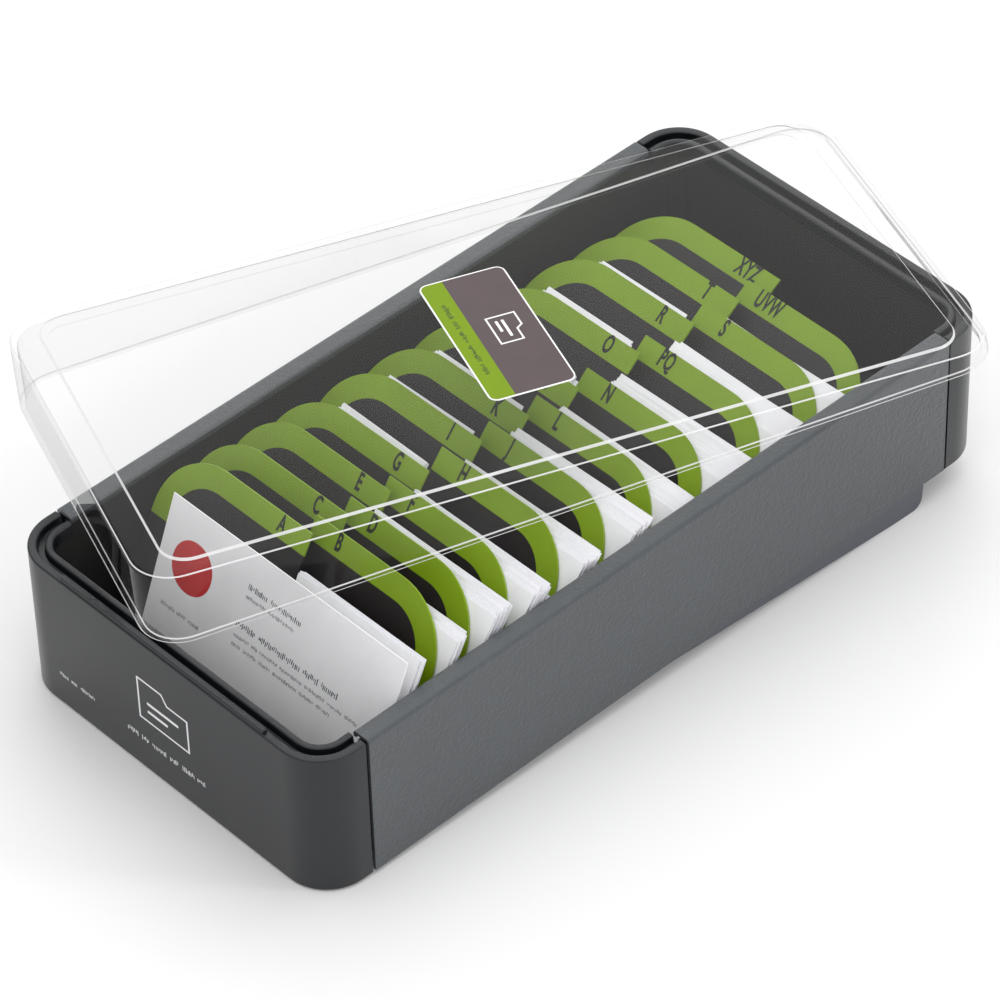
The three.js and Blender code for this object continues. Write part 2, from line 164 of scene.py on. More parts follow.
def sheet_frame(joint, lean, foot=None):
    """Frame of a leaning sheet: x right, z up along the sheet, -y out of its front face.
    The joint gives its height, and its place along the tray unless foot does."""
    at = TRAY.inverted() @ Vector(JOINTS[joint]["pos_m"])
    y = at.y if foot is None else foot
    return TRAY @ Matrix.Translation((0, y, at.z)) @ Matrix.Rotation(-math.radians(lean), 4, "X")


def cad_points(node, place):
    """Corners of a CAD node, in millimetres in the given frame."""
    piece = frame["nodes"][node]
    local = place.inverted() @ piece.matrix_world
    return [local @ vertex.co for vertex in piece.data.vertices]


bpy.context.view_layer.update()
LEAVES = [name for name in JOINTS if name.startswith("leaf_") and name != "leaf_front"]
INDEX_LETTERS = [name.removeprefix("leaf_") for name in LEAVES]

LID = (
    TRAY
    @ Matrix.Translation(LID_POSITION)
    @ Matrix.Rotation(math.radians(LID_YAW), 4, "Z")
    @ Matrix.Rotation(math.radians(LID_PITCH), 4, "X")
    @ Matrix.Rotation(math.radians(LID_ROLL), 4, "Y")
)


# ---- materials -----------------------------------------------------------------------------------
ROUGH_SPREAD = 0.06


def linear(red, green, blue):
    """Screen levels out of 255 as a linear colour."""
    def one(value):
        value /= 255
        return value / 12.92 if value <= 0.04045 else ((value + 0.055) / 1.055) ** 2.4

    return (one(red), one(green), one(blue), 1)


def material(name, rgb, roughness, mottle, mottle_mm, bumps=(), **inputs):
    """Principled surface with a mottled colour, uneven roughness and one or more layers of relief.
    bumps holds (kind, feature size in mm, height in mm), and inputs are set on the shader by name."""
    mat = bpy.data.materials.new(name)
    mat.use_nodes = True
    nodes = mat.node_tree.nodes
    links = mat.node_tree.links
    shader = nodes["Principled BSDF"]
    for key, value in inputs.items():
        shader.inputs[key.replace("_", " ")].default_value = value
    place = nodes.new("ShaderNodeTexCoord").outputs["Object"]
    noise = nodes.new("ShaderNodeTexNoise")
    noise.inputs["Scale"].default_value = 1 / (mottle_mm * MM)
    noise.inputs["Detail"].default_value = 5
    noise.inputs["Roughness"].default_value = 0.6
    links.new(place, noise.inputs["Vector"])
    ramp = nodes.new("ShaderNodeValToRGB")
    base = linear(*rgb)
    ramp.color_ramp.elements[0].position = 0.3
    ramp.color_ramp.elements[0].color = tuple(c * (1 - mottle) for c in base[:3]) + (1,)
    ramp.color_ramp.elements[1].position = 0.7
    ramp.color_ramp.elements[1].color = tuple(min(1, c * (1 + mottle)) for c in base[:3]) + (1,)
    links.new(noise.outputs["Fac"], ramp.inputs["Fac"])
    links.new(ramp.outputs["Color"], shader.inputs["Base Color"])
    spread = nodes.new("ShaderNodeMapRange")
    spread.inputs["To Min"].default_value = max(0, roughness - ROUGH_SPREAD)
    spread.inputs["To Max"].default_value = min(1, roughness + ROUGH_SPREAD)
    links.new(noise.outputs["Fac"], spread.inputs["Value"])
    links.new(spread.outputs["Result"], shader.inputs["Roughness"])
    normal = None
    for kind, size, height in bumps:
        if kind == "voronoi":
            texture = nodes.new("ShaderNodeTexVoronoi")
            texture.feature = "SMOOTH_F1"
            output = texture.outputs["Distance"]
        else:
            texture = nodes.new("ShaderNodeTexNoise")
            texture.inputs["Detail"].default_value = 3
            output = texture.outputs["Fac"]
        texture.inputs["Scale"].default_value = 1 / (size * MM)
        links.new(place, texture.inputs["Vector"])
        bump = nodes.new("ShaderNodeBump")
        bump.inputs["Strength"].default_value = 1
        bump.inputs["Distance"].default_value = height * MM
        links.new(output, bump.inputs["Height"])
        if normal is not None:
            links.new(normal, bump.inputs["Normal"])
        normal = bump.outputs["Normal"]
    if normal is not None:
        links.new(normal, shader.inputs["Normal"])
    return mat


PANEL = material(
    "powder_coat", (73, 77, 80), 0.31, 0.05, 14,
    (("noise", 1.5, 0.2), ("voronoi", 0.9, 0.14)),
)
CAP = material("cap_plastic", (18, 21, 25), 0.3, 0.05, 22, (("noise", 0.5, 0.012),))
LINER = material("liner_plastic", (46, 45, 44), 0.5, 0.05, 18, (("noise", 0.7, 0.002),))
STAND = material("stand_plastic", (78, 79, 88), 0.42, 0.04, 20, (("noise", 0.6, 0.015),))
PIN = material("pin_steel", (150, 152, 155), 0.3, 0.1, 2, (("noise", 0.3, 0.004),), Metallic=1.0)
GREEN = material("index_green", (128, 160, 10), 0.42, 0.05, 12, (("noise", 0.6, 0.006),))
BLACK = material("index_black", (26, 20, 22), 0.45, 0.15, 10, (("noise", 0.6, 0.003),))
INK = material("index_ink", (16, 22, 8), 0.5, 0.1, 3)
CARD = material("card_stock", (250, 250, 252), 0.75, 0.025, 6, (("noise", 0.35, 0.006),))
CARD_EDGE = material("card_edge", (222, 222, 230), 0.8, 0.09, 1.0)
PRINT_GREY = material("print_grey", (112, 113, 118), 0.7, 0.06, 3)
PRINT_DARK = material("print_dark", (66, 68, 74), 0.7, 0.06, 3)
PRINT_RED = material("print_red", (206, 44, 48), 0.6, 0.07, 8)
PRINT_WHITE = material("print_white", (232, 232, 234), 0.5, 0.04, 3)
LABEL_WHITE = material("label_white", (250, 250, 250), 0.4, 0.02, 5)
LABEL_LIME = material("label_lime", (122, 152, 4), 0.38, 0.04, 7, Specular_IOR_Level=0.15)
LABEL_DARK = material("label_dark", (92, 80, 82), 0.35, 0.05, 9, Specular_IOR_Level=0.15)


def clear_plastic(name, haze_and_highlight, tint):
    """Thin clear moulding: light passes straight through, darker at a glancing angle, with an uneven share of
    white diffuse, a faint milkiness on clear faces and a painted highlight on the edge strips.
    Only faces seen from outside shine, because back faces would reflect everything and hide the contents."""
    mat = bpy.data.materials.new(name)
    mat.use_nodes = True
    nodes = mat.node_tree.nodes
    links = mat.node_tree.links
    nodes.remove(nodes["Principled BSDF"])
    place = nodes.new("ShaderNodeTexCoord").outputs["Object"]
    noise = nodes.new("ShaderNodeTexNoise")
    noise.inputs["Scale"].default_value = 1 / (18 * MM)
    noise.inputs["Detail"].default_value = 4
    links.new(place, noise.inputs["Vector"])
    clear = nodes.new("ShaderNodeBsdfTransparent")
    facing = nodes.new("ShaderNodeLayerWeight")
    facing.inputs["Blend"].default_value = 0.5
    depth = nodes.new("ShaderNodeMapRange")
    depth.inputs["From Min"].default_value = 0.72
    depth.inputs["To Min"].default_value = tint
    depth.inputs["To Max"].default_value = tint * 0.7
    links.new(facing.outputs["Facing"], depth.inputs["Value"])
    links.new(depth.outputs["Result"], clear.inputs["Color"])
    white = nodes.new("ShaderNodeBsdfDiffuse")
    white.inputs["Color"].default_value = (0.98, 0.98, 0.98, 1)
    white_share = nodes.new("ShaderNodeMapRange")
    white_share.inputs["To Min"].default_value = haze_and_highlight * 0.8
    white_share.inputs["To Max"].default_value = haze_and_highlight * 1.2
    links.new(noise.outputs["Fac"], white_share.inputs["Value"])
    through = nodes.new("ShaderNodeMixShader")
    links.new(white_share.outputs["Result"], through.inputs["Fac"])
    links.new(clear.outputs["BSDF"], through.inputs[1])
    links.new(white.outputs["BSDF"], through.inputs[2])
    gloss = nodes.new("ShaderNodeBsdfGlossy")
    gloss.inputs["Roughness"].default_value = 0.03
    fresnel = nodes.new("ShaderNodeFresnel")
    fresnel.inputs["IOR"].default_value = 1.28
    outside = nodes.new("ShaderNodeMath")
    outside.operation = "SUBTRACT"
    outside.inputs[0].default_value = 1
    links.new(nodes.new("ShaderNodeNewGeometry").outputs["Backfacing"], outside.inputs[1])
    shine = nodes.new("ShaderNodeMath")
    shine.operation = "MULTIPLY"
    links.new(fresnel.outputs["Fac"], shine.inputs[0])
    links.new(outside.outputs["Value"], shine.inputs[1])
    mix = nodes.new("ShaderNodeMixShader")
    links.new(shine.outputs["Value"], mix.inputs["Fac"])
    links.new(through.outputs["Shader"], mix.inputs[1])
    links.new(gloss.outputs["BSDF"], mix.inputs[2])
    links.new(mix.outputs["Shader"], nodes["Material Output"].inputs["Surface"])
    return mat


GLASS = clear_plastic("clear_plastic", 0.003, 0.975)
# Edge strips: a large share of white diffuse is a painted highlight, and the grey glancing tint is painted
# shade, standing in for light bent in the plastic's thickness
GLASS_EDGE_HIGHLIGHT = clear_plastic("clear_plastic_painted_edge_highlight", 0.7, 0.7)


# ---- mesh helpers --------------------------------------------------------------------------------
def arc(x, y, radius, start, end, steps):
    """Points on an arc, ends included, in degrees."""
    return [
        (
            x + radius * math.cos(math.radians(start + (end - start) * i / steps)),
            y + radius * math.sin(math.radians(start + (end - start) * i / steps)),
        )
        for i in range(steps + 1)
    ]


def rounded(half_x, half_y, radius, steps=10):
    """Anticlockwise rounded rectangle about the origin."""
    x = half_x - radius
    y = half_y - radius
    return (
        arc(x, y, radius, 0, 90, steps)
        + arc(-x, y, radius, 90, 180, steps)
        + arc(-x, -y, radius, 180, 270, steps)
        + arc(x, -y, radius, 270, 360, steps)
    )


def rectangle(left, bottom, right, top):
    return [(left, bottom), (right, bottom), (right, top), (left, top)]


def finish_mesh(bm, name, materials, body, sharp=32):
    """Turns a bmesh into a piece that rides on a body, smooth except across sharp edges."""
    bmesh.ops.recalc_face_normals(bm, faces=bm.faces)
    for face in bm.faces:
        face.smooth = True
    for edge in bm.edges:
        if len(edge.link_faces) == 2 and edge.calc_face_angle() > math.radians(sharp):
            edge.smooth = False
    mesh = bpy.data.meshes.new(name)
    bm.to_mesh(mesh)
    bm.free()
    for mat in materials:
        mesh.materials.append(mat)
    piece = bpy.data.objects.new(name, mesh)
    bpy.context.scene.collection.objects.link(piece)
    if body:
        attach(piece, body)
    return piece


def add_prism(bm, outline, near, far, place, index=0, side_index=None):
    """Adds an outline in (x, z) given thickness from y = near to y = far."""
    front = [bm.verts.new(place @ Vector((x, near, z))) for x, z in outline]
    back = [bm.verts.new(place @ Vector((x, far, z))) for x, z in outline]
    bm.faces.new(front).material_index = index
    bm.faces.new(back[::-1]).material_index = index
    count = len(outline)
    for i in range(count):
        j = (i + 1) % count
        side = bm.faces.new((front[j], front[i], back[i], back[j]))
        side.material_index = index if side_index is None else side_index


def add_ring(bm, outer, inner, near, far, place):
    """Adds a frame between two matching outlines, given thickness from y = near to y = far."""
    rings = []
    for outline, y in ((outer, near), (inner, near), (inner, far), (outer, far)):
        rings.append([bm.verts.new(place @ Vector((x, y, z))) for x, z in outline])
    count = len(outer)
    for a, b in zip(rings, rings[1:] + rings[:1]):
        for i in range(count):
            j = (i + 1) % count
            bm.faces.new((a[i], a[j], b[j], b[i]))


def skin(bm, rings, bands=()):
    """Closes a run of matching rings of points into one body; bands numbers the strips of material 1."""
    layers = [[bm.verts.new(point) for point in ring] for ring in rings]
    count = len(rings[0])
    for strip, (low, high) in enumerate(zip(layers, layers[1:])):
        for i in range(count):
            j = (i + 1) % count
            face = bm.faces.new((low[i], low[j], high[j], high[i]))
            face.material_index = 1 if strip in bands else 0
    bm.faces.new(layers[0][::-1])
    bm.faces.new(layers[-1])


def fillet(corners, steps=5):
    """Rounds the corners of a closed profile given as (x, y, radius); radius 0 stays sharp."""
    points = []
    count = len(corners)
    for i, (x, y, radius) in enumerate(corners):
        here = Vector((x, y))
        before = Vector(corners[i - 1][:2]) - here
        after = Vector(corners[(i + 1) % count][:2]) - here
        if radius <= 0:
            points.append((x, y))
            continue
        before.normalize()
        after.normalize()
        half = before.angle(after) / 2
        reach = radius / math.tan(half)
        start = here + before * reach
        end = here + after * reach
        centre = here + (before + after).normalized() * (radius / math.sin(half))
        a = start - centre
        b = end - centre
        sweep = a.angle(b)
        for k in range(steps + 1):
            t = k / steps
            p = (a * math.sin((1 - t) * sweep) + b * math.sin(t * sweep)) / math.sin(sweep) + centre
            points.append((p.x, p.y))
    return points


# ---- carried-over CAD nodes ----------------------------------------------------------------------
def refinish(node, mat, bevel=0.0):
    """Gives a CAD node its material, and edges rounded by a bevel in mm."""
    piece = frame["nodes"][node]
    piece.data.materials.clear()
    piece.data.materials.append(mat)
    for polygon in piece.data.polygons:
        polygon.use_smooth = True
        polygon.material_index = 0
    if bevel:
        rounding = piece.modifiers.new("edges", "BEVEL")
        rounding.width = bevel * MM
        rounding.segments = 3
        rounding.limit_method = "ANGLE"
        rounding.angle_limit = math.radians(40)
    split = piece.modifiers.new("creases", "EDGE_SPLIT")
    split.split_angle = math.radians(28)


refinish("side_panel_left", PANEL, 0.4)
refinish("side_panel_right", PANEL, 0.4)
refinish("inner_tray", LINER)
refinish("prop_stand", STAND, 0.2)
refinish("stand_pivot_left", PIN)
refinish("stand_pivot_right", PIN)


# ---- end caps ------------------------------------------------------------------------------------
# Inset and height round the rim, the groove behind it, the bead, the wall and the foot
CAP_PROFILE = fillet([
    (0, CAP_BOTTOM, 1), (0, CAP_TOP, 0.5), (2.5, CAP_TOP, 0.5), (2.7, CAP_GROOVE, 0.3),
    (4.6, CAP_GROOVE, 0.3), (4.8, CAP_BEAD_TOP, 0.6), (CAP_BEAD_INSET, CAP_BEAD_TOP, 0.8),
    (CAP_BEAD_INSET, CAP_BEAD_BOTTOM, 0), (CAP_WALL, CAP_BEAD_BOTTOM, 0), (CAP_WALL, CAP_FLOOR, 0),
    (CAP_LIP_INSET, CAP_FLOOR, 0), (CAP_LIP_INSET, CAP_BOTTOM, 0),
])


def cap_path(inset):
    """Outline of the front cap at an inset, from its right end round the corners to its left end."""
    x = CAP_HALF_WIDTH - CAP_CORNER
    y = -HALF_LENGTH + CAP_CORNER
    radius = max(CAP_CORNER - inset, CAP_SHARPEST_CORNER)
    shift = max(inset - CAP_CORNER + CAP_SHARPEST_CORNER, 0)
    return (
        [(CAP_HALF_WIDTH - inset, -CAP_INNER_EDGE)]
        + arc(x - shift, y + shift, radius, 0, -90, 14)
        + arc(-x + shift, y + shift, radius, -90, -180, 14)
        + [(-CAP_HALF_WIDTH + inset, -CAP_INNER_EDGE)]
    )


def end_cap(name, turn):
    """One moulding for both ends: a wall run round three sides, and the floor between its lips."""
    bm = bmesh.new()
    place = TRAY @ Matrix.Rotation(turn, 4, "Z")
    rows = []
    for inset, z in CAP_PROFILE:
        rows.append([bm.verts.new(place @ Vector((x, y, z))) for x, y in cap_path(inset)])
    for a, b in zip(rows, rows[1:] + rows[:1]):
        for i in range(len(a) - 1):
            bm.faces.new((a[i], a[i + 1], b[i + 1], b[i]))
    bm.faces.new([row[0] for row in rows])
    bm.faces.new([row[-1] for row in rows][::-1])
    half = CAP_HALF_WIDTH - CAP_FLOOR_INSET
    floor = rectangle(-half, -HALF_LENGTH + CAP_FLOOR_INSET, half, -CAP_INNER_EDGE)
    skin(bm, [[place @ Vector((x, y, z)) for x, y in floor] for z in (CAP_BOTTOM, CAP_FLOOR)])
    return finish_mesh(bm, name, [CAP], "base", 50)


def grip_bar():
    """Raised bar along the front rim, rounded in to a narrow end on each side."""
    foot = CAP_TOP - GRIP_SUNK
    side = GRIP_TOP - GRIP_CHAMFER_HEIGHT
    section = [
        (GRIP_OUTER, foot), (GRIP_OUTER, side), (GRIP_OUTER + GRIP_CHAMFER_WIDTH, GRIP_TOP),
        (GRIP_INNER - GRIP_CHAMFER_WIDTH, GRIP_TOP), (GRIP_INNER, side), (GRIP_INNER, foot),
    ]
    ends = []
    for k in range(GRIP_END_STEPS + 1):
        angle = k / GRIP_END_STEPS * math.pi / 2
        ends.append((-GRIP_HALF_LENGTH + GRIP_END_LENGTH * (1 - math.cos(angle)), math.sin(angle)))
    rings = []
    for x, width in ends + [(-x, width) for x, width in ends[::-1]]:
        ring = []
        for depth, z in section:
            inset = GRIP_MIDDLE + (depth - GRIP_MIDDLE) * max(width, GRIP_END_WIDTH)
            ring.append(TRAY @ Vector((x, -HALF_LENGTH + inset, z)))
        rings.append(ring)
    bm = bmesh.new()
    skin(bm, rings)
    finish_mesh(bm, "grip_bar", [CAP], "base", 40)


front = end_cap("front_cap_moulding", 0)
rear = end_cap("rear_cap_moulding", math.pi)
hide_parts("front_cap")
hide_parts("rear_cap")
grip_bar()


# ---- generic printed marks -----------------------------------------------------------------------
def dashes(bm, place, left, z, height, widths, gap, proud=0.03, index=0):
    """A line of small print that reads as nothing: words of fine upright ticks of uneven height."""
    x = left
    for width in widths:
        at = x
        while at < x + width:
            stroke = height * rng.uniform(*TICK_WIDTH)
            low = z - height / 2 + height * rng.choice(TICK_RAISED)
            high = z + height / 2 - height * rng.choice(TICK_LOWERED)
            add_prism(bm, rectangle(at, low, at + stroke, high), -proud, PRINT_SUNK, place, index)
            at += height * rng.uniform(*TICK_PITCH)
        x += width + gap


def shifted(outline, x, z):
    return [(px + x, pz + z) for px, pz in outline]


def card_mark(bm, place, x, z, width, height, line, proud=0.03):
    """Outline of a tabbed index card with two bars on it."""
    left, right = x - width / 2, x + width / 2
    low, high = z - height / 2, z + height / 2
    shoulder = high - height * 0.2
    tab_foot = x + width * 0.1
    inward = line * 0.6
    outer = [(left, low), (right, low), (right, shoulder), (tab_foot, shoulder), (x, high), (left, high)]
    inner = [
        (left + line, low + line), (right - line, low + line), (right - line, shoulder - line),
        (tab_foot - inward, shoulder - line), (x - inward, high - line), (left + line, high - line),
    ]
    add_ring(bm, outer, inner, -proud, PRINT_SUNK, place)
    for k, share in enumerate((0.62, 0.4)):
        bar = rounded(width * share / 2, line * 0.8, line * 0.5, 3)
        bar = shifted(bar, left + width * (0.18 + share / 2), z - height * (0.02 + 0.2 * k))
        add_prism(bm, bar, -proud, PRINT_SUNK, place)


front_face = TRAY @ Matrix.Translation((0, -HALF_LENGTH, 0))
bm = bmesh.new()
card_mark(bm, front_face, 0, 26, 20, 15, 0.6)
dashes(bm, front_face, -15.5, 10.8, 1.8, (4.2, 2.6, 5.6, 3.4, 4.4, 3.2), 1.5)
dashes(bm, front_face, -43, 11, 1.4, (3.2, 2.4, 5.4), 1.4)
finish_mesh(bm, "front_print", [PRINT_WHITE], "base")


# ---- index sheets --------------------------------------------------------------------------------
def flip(outline, side):
    """Outlines are drawn for a tab on the left; side 1 mirrors them."""
    return outline if side < 0 else [(-x, z) for x, z in outline][::-1]


def index_sheet(letters, side, lean):
    """Black sheet with a green band round its tab."""
    place = sheet_frame("leaf_" + letters, lean)
    body = "index_" + letters
    half = INDEX_HALF_WIDTH
    cx, cz = -half + TAB_CORNER, TAB_HEIGHT - TAB_CORNER
    outer_arc = arc(cx, cz, TAB_CORNER, 90, 180, 14)
    inner_arc = arc(cx, cz, TAB_CORNER - BAND_WIDTH, 180, 90, 14)
    band = (
        [(TAB_OVERLAP, TAB_HEIGHT)] + outer_arc + [(-half, BAND_END), (-half + BAND_WIDTH, BAND_END)]
        + inner_arc + [(TAB_OVERLAP, TAB_HEIGHT - BAND_WIDTH)]
    )
    foot = INDEX_THICKNESS * math.tan(math.radians(lean))
    shoulder = arc(half - SHOULDER_CORNER, SHOULDER - SHOULDER_CORNER, SHOULDER_CORNER, 0, 90, 6)
    black = (
        [(-half, foot), (half, foot)] + shoulder
        + [(TAB_OVERLAP, SHOULDER), (TAB_OVERLAP, TAB_HEIGHT - BAND_WIDTH)]
        + inner_arc[::-1] + [(-half + BAND_WIDTH, BAND_END), (-half, BAND_END)]
    )
    bm = bmesh.new()
    add_prism(bm, flip(band, side), 0, INDEX_THICKNESS, place, 0)
    add_prism(bm, flip(black, side), 0, INDEX_THICKNESS, place, 1)
    sheet = finish_mesh(bm, "sheet_" + letters, [GREEN, BLACK], body)
    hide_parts("index_sheet_" + letters)
    index_letters(letters, side, place, body)


def index_letters(letters, side, place, body):
    """The letters on a tab, narrowed, on the side of the middle where the tab is."""
    text = bpy.data.curves.new("letters_" + letters, "FONT")
    text.body = letters.upper()
    text.size = LETTER_SIZE * MM
    text.align_x = "CENTER"
    text.align_y = "CENTER"
    text.extrude = LETTER_DEPTH * MM
    text.offset = LETTER_BOLDNESS * MM
    text.space_character = LETTER_SPACING
    text.materials.append(INK)
    written = bpy.data.objects.new("letters_" + letters, text)
    bpy.context.scene.collection.objects.link(written)
    written.matrix_world = (
        place
        @ Matrix.Translation((side * LETTER_X, -LETTER_PROUD, TAB_HEIGHT - LETTER_DROP))
        @ Matrix.Rotation(math.pi / 2, 4, "X")
        @ Matrix.Diagonal((LETTER_NARROWING, 1, 1, 1))
        @ Matrix.Scale(1 / MM, 4)
    )
    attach(written, body)


# ---- cards ---------------------------------------------------------------------------------------
def pack_outline(step, high, right_is_high):
    """Cards stand high only on the side where the tab in front of them is high."""
    left_top, right_top = (LOW_CARD, high) if right_is_high else (high, LOW_CARD)
    return [
        (CARD_LEFT, 0), (CARD_RIGHT, 0), (CARD_RIGHT, right_top), (step, right_top), (step, left_top),
        (CARD_LEFT, left_top),
    ]


def card_pack(node, joint, body, lean, spread=PACK_SPREAD):
    """A pack of separate, slightly untidy cards in the space of its CAD solid.
    Each card is lifted by what its turn lowers a corner, so that none reaches below the tray floor."""
    foot = min(point.y for point in cad_points(node, TRAY))
    place = sheet_frame(joint, lean, foot)
    solid = cad_points(node, place)
    rise = math.tan(math.radians(lean))
    thickness = max(point.y for point in solid)
    high = max(point.z for point in solid) - thickness * rise
    tall = [point.x for point in solid if point.y < CAD_TOLERANCE and point.z > high - CAD_TOLERANCE]
    right_is_high = max(tall) > CARD_RIGHT - 1
    step = min(tall) if right_is_high else max(tall)
    outline = pack_outline(step, high - CARD_HEADROOM * spread, right_is_high)
    bm = bmesh.new()
    count = max(2, int(thickness / CARD_PITCH))
    middle = Matrix.Translation(CARD_TURN_CENTRE)
    for k in range(count):
        depth = thickness * k / count
        turn = math.radians(rng.uniform(-1, 1) * CARD_TURN)
        corner_drop = CARD_HALF_WIDTH * abs(math.sin(turn))
        slide = rng.uniform(*CARD_SLIDE) * spread
        lift = corner_drop + rng.uniform(*CARD_RISE) * spread
        floor = (depth + CARD_PITCH) * rise + CARD_CLEARANCE
        own = (
            place @ Matrix.Translation((slide, 0, lift + floor))
            @ middle @ Matrix.Rotation(turn, 4, "Y") @ middle.inverted()
        )
        add_prism(bm, outline, depth, depth + CARD_THICKNESS, own, 0, 1)
    pack = finish_mesh(bm, "cards_" + node, [CARD, CARD_EDGE], body)
    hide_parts(node)


def printed_card():
    """The loose card at the front, with a disc and lines of unreadable print."""
    place = sheet_frame("leaf_front", FRONT_LEAN)
    bm = bmesh.new()
    face = rectangle(CARD_LEFT, FRONT_CARD_BOTTOM, CARD_RIGHT, CARD_HEIGHT)
    add_prism(bm, face, 0, FRONT_CARD_THICKNESS, place)
    card = finish_mesh(bm, "printed_card", [CARD], "front_cards")
    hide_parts("front_card")
    bm = bmesh.new()
    add_prism(bm, shifted(rounded(7.6, 7.6, 7.4, 8), -23.4, 38.6), -0.02, PRINT_SUNK, place)
    dashes(bm, place, -31, 24.2, 1.2, (5.2, 3.6, 4.0), 1.0, 0.02, 1)
    dashes(bm, place, -3, 45, 1.7, (7.2, 11.5), 1.5, 0.02, 2)
    dashes(bm, place, -3, 42, 1.1, (7.4, 9.6), 1.2, 0.02, 1)
    dashes(bm, place, -4, 33.4, 1.9, (7.0, 15.5, 5.4, 6.2), 1.7, 0.02, 2)
    dashes(bm, place, -4, 29.9, 1.1, (5.8, 2.0, 6.6, 8.4, 7.6, 5.4, 4.6), 1.2, 0.02, 1)
    dashes(bm, place, -4, 27.2, 1.1, (3.4, 5.0, 4.2, 9.0, 5.4, 4.8), 1.2, 0.02, 1)
    finish_mesh(bm, "card_print", [PRINT_RED, PRINT_GREY, PRINT_DARK], "front_cards")


for order, letters in enumerate(INDEX_LETTERS):
    lean = FIRST_LEAN + LEAN_STEP * order
    index_sheet(letters, -1 if order % 2 == 0 else 1, lean)
    if "card_pack_" + letters in frame["nodes"]:
        card_pack("card_pack_" + letters, "leaf_" + letters, "index_" + letters, lean)

card_pack("card_pack_front", "leaf_front", "front_cards", FRONT_PACK_LEAN, FRONT_PACK_SPREAD)
printed_card()


# ---- lid -----------------------------------------------------------------------------------------
def lid_top(y, lift):
    along = (y + LID_HALF_LENGTH) / (2 * LID_HALF_LENGTH)
    return LID_FRONT + (LID_REAR - LID_FRONT) * along + lift


def lid_outline(inset):
    return rounded(LID_HALF_WIDTH - inset, LID_HALF_LENGTH - inset, LID_CORNER - inset)


def rim_ring(inset, height):
    """Ring at a height above the lower edge of the lid."""
    return [LID @ Vector((x, y, height)) for x, y in lid_outline(inset)]


def top_ring(outline, lift):
    """Ring at a height above the sloping top."""
    return [LID @ Vector((x, y, lid_top(y, lift))) for x, y in outline]


def raised_ring(inset, lift):
    outline = rounded(RAISED_HALF_WIDTH - inset, RAISED_HALF_LENGTH - inset, RAISED_CORNER - inset)
    return top_ring(outline, lift)


def quarter(inset, lift, size):
    """Round shoulder from the side wall onto the top."""
    rings = []
    for k in range(LID_SHOULDER_STEPS + 1):
        angle = k / LID_SHOULDER_STEPS * math.pi / 2
        outline = lid_outline(inset + size * (1 - math.cos(angle)))
        rings.append(top_ring(outline, lift - size * (1 - math.sin(angle))))
    return rings


def clear_lid():
    """Shell of the lid, from the inside of its raised panel out round the rim to the outside of the panel."""
    rings = [
        raised_ring(LID_WALL + RAISED_STEP * across, RAISED_STEP * up - LID_WALL)
        for across, up in ((1, 1), (0.6, 0.85), (0.3, 0.15), (0, 0))
    ]
    rings += quarter(LID_WALL + LID_DRAFT, -LID_WALL, LID_INNER_SHOULDER)[::-1]
    rim_start = len(rings)
    rings += [
        rim_ring(LID_WALL, 0.3), rim_ring(LID_WALL - 0.3, 0), rim_ring(0.4, 0), rim_ring(0.1, 0.12),
        rim_ring(0, 0.45),
    ]
    shoulder_start = len(rings)
    rings += quarter(LID_DRAFT, 0, LID_OUTER_SHOULDER)
    step_start = len(rings)
    rings += [
        raised_ring(RAISED_STEP * across, RAISED_STEP * up)
        for across, up in ((0, 0), (0.25, 0.15), (0.75, 0.85), (1, 1))
    ]
    # Narrow strips of the edge material draw the bright lines along the edges: painted highlights, with grey
    # painted shade, standing in for light bent in the plastic's thickness
    highlight_strips = {rim_start, rim_start + 2, rim_start + 3, shoulder_start + 2, step_start + 1}
    bm = bmesh.new()
    skin(bm, rings, highlight_strips)
    lid = finish_mesh(bm, "clear_lid", [GLASS, GLASS_EDGE_HIGHLIGHT], "lid", 40)
    flat_tops = lid.modifiers.new("flat_tops", "WEIGHTED_NORMAL")
    flat_tops.keep_sharp = True
    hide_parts("lid")


def label_field(left, bottom, right, top, radii):
    """Rectangle with a radius for each corner, from bottom left round to top left."""
    corners = rectangle(left, bottom, right, top)
    return fillet([(x, z, radius) for (x, z), radius in zip(corners, radii)])


def lid_sticker():
    """Sticker on the raised panel: its frame has x along the lid's width and z to the rear."""
    slope = math.atan2(LID_REAR - LID_FRONT, 2 * LID_HALF_LENGTH)
    place = (
        LID @ Matrix.Translation((LABEL_X, 0, lid_top(0, RAISED_STEP) + LABEL_LIFT))
        @ Matrix.Rotation(slope, 4, "X") @ Matrix.Rotation(-math.pi / 2, 4, "X")
    )
    half_width, half_depth = LABEL_HALF_WIDTH, LABEL_HALF_DEPTH
    side, end = half_width - LABEL_EDGE, half_depth - LABEL_EDGE
    split = -half_depth + LABEL_STRIPE
    corner = LABEL_FIELD_CORNER
    whole = label_field(-half_width, -half_depth, half_width, half_depth, (LABEL_CORNER,) * 4)
    lime = label_field(-side, -end, side, split, (corner, corner, 0, 0))
    dark = label_field(-side, split, side, end, (0, 0, corner, corner))
    bm = bmesh.new()
    add_prism(bm, whole, -LABEL_THICKNESS, 0, place, 0)
    add_prism(bm, lime, -LABEL_FIELD_PROUD, -LABEL_THICKNESS, place, 1)
    add_prism(bm, dark, -LABEL_FIELD_PROUD, -LABEL_THICKNESS, place, 2)
    printed = place @ Matrix.Translation((0, -LABEL_FIELD_PROUD, 0))
    card_mark(bm, printed, -0.6, 3.4, 12, 8.6, 0.5, 0.02)
    dashes(bm, printed, -16.5, -8.6, 1.5, (6.4, 3.2, 5.0, 7.4, 4.0), 1.4, 0.02, 3)
    label = finish_mesh(bm, "lid_sticker", [LABEL_WHITE, LABEL_LIME, LABEL_DARK, INK], "lid", 40)
    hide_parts("lid_label")


clear_lid()
lid_sticker()


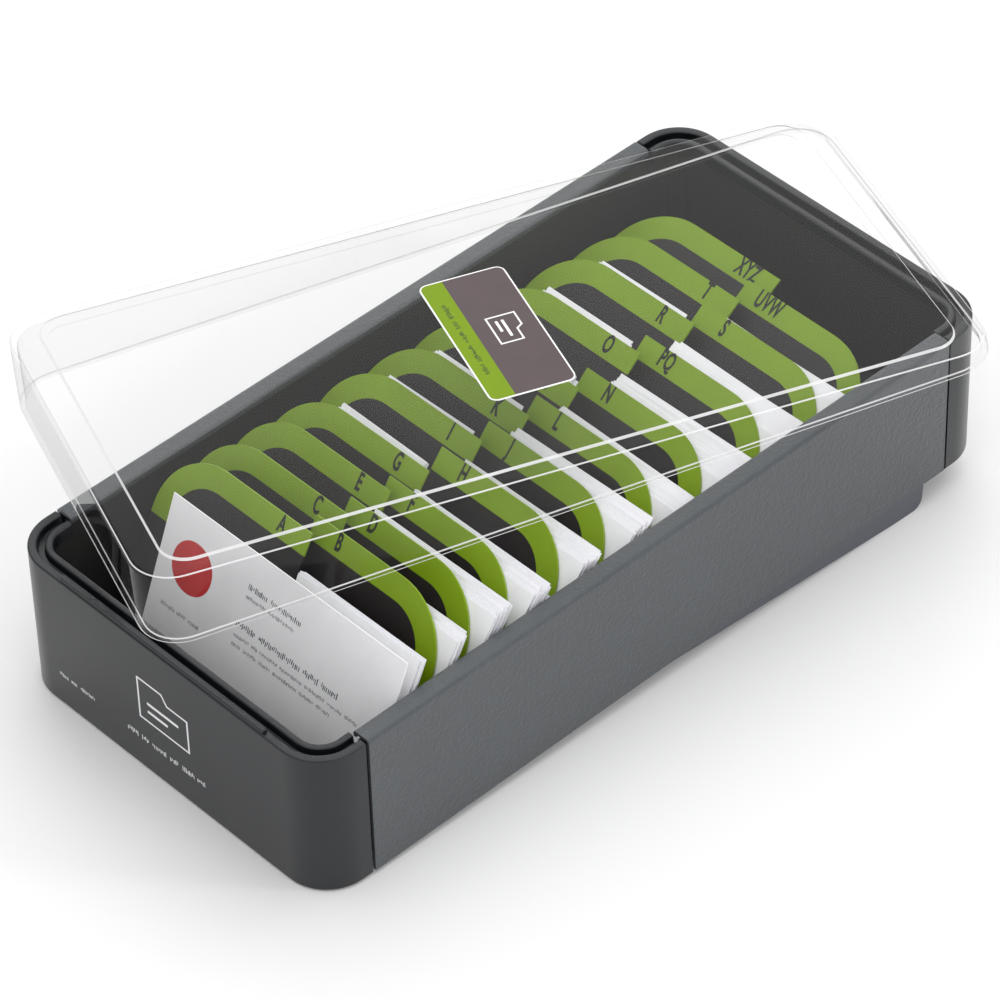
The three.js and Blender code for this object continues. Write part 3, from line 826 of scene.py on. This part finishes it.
# ---- studio --------------------------------------------------------------------------------------
FLOOR = material("floor_paper", (246, 246, 246), 0.9, 0.01, 300)
FLOOR_HALF_SIZE = 4
FLOOR_DROP = 0.05 * MM
bm = bmesh.new()
bmesh.ops.create_grid(bm, x_segments=2, y_segments=2, size=FLOOR_HALF_SIZE)
bmesh.ops.translate(bm, verts=bm.verts, vec=(0, 0, -FLOOR_DROP))
floor = finish_mesh(bm, "floor", [FLOOR], None)


def softbox(name, place, aim, width, height, radiance):
    """White rectangular light, in metres; radiance keeps its brightness the same at any size."""
    data = bpy.data.lights.new(name, "AREA")
    data.shape = "RECTANGLE"
    data.size = width
    data.size_y = height
    data.energy = radiance * math.pi * width * height
    light = bpy.data.objects.new(name, data)
    bpy.context.scene.collection.objects.link(light)
    light.location = place
    light.rotation_euler = (Vector(aim) - Vector(place)).to_track_quat("-Z", "Y").to_euler()


softbox("overhead", (-0.15, 0.25, 1.3), (0, 0, 0), 1.6, 1.4, 1.0)
softbox("rear_left", (-1.3, 1.0, 0.9), (0, 0, 0.05), 1.4, 1.2, 1.0)
softbox("right_side", (1.5, -0.2, 0.7), (0, 0, 0.05), 1.0, 1.0, 1.0)
softbox("front_fill", (0.3, -0.9, 1.25), (0, -0.1, 0.03), 0.9, 0.7, 1.2)
softbox("edge_light", (1.09, 0.78, 0.9), (0, 0, 0.05), 0.2, 0.2, 20.0)

world = bpy.data.worlds.new("studio")
world.use_nodes = True
background = world.node_tree.nodes["Background"]
background.inputs["Color"].default_value = (1, 1, 1, 1)
background.inputs["Strength"].default_value = 0.7
bpy.context.scene.world = world
bpy.context.scene.view_settings.view_transform = "Standard"

# ---- camera, placed round the tray in its own frame ----------------------------------------------
AZIMUTH = math.radians(47.6)
ELEVATION = math.radians(43.2)
ROLL = math.radians(-1.8)
TARGET = Vector((6.1, -9.8, 30))
DISTANCE = 1464
back = Vector((
    math.sin(AZIMUTH) * math.cos(ELEVATION), -math.cos(AZIMUTH) * math.cos(ELEVATION), math.sin(ELEVATION),
))
right = Vector((math.cos(AZIMUTH), math.sin(AZIMUTH), 0))
up = back.cross(right)
rolled_right = right * math.cos(ROLL) + up * math.sin(ROLL)
rolled_up = up * math.cos(ROLL) - right * math.sin(ROLL)
turned = Matrix((rolled_right, rolled_up, back)).transposed().to_4x4()
camera_data = bpy.data.cameras.new("camera")
camera_data.sensor_width = 36
camera_data.lens = 196
camera_data.clip_start = 0.1
camera_data.clip_end = 20
camera = bpy.data.objects.new("camera", camera_data)
bpy.context.scene.collection.objects.link(camera)
camera.matrix_world = (
    Matrix.Translation(TRAY @ (TARGET + back * DISTANCE)) @ Matrix.Rotation(TILT, 4, "X") @ turned
)
bpy.context.scene.camera = camera
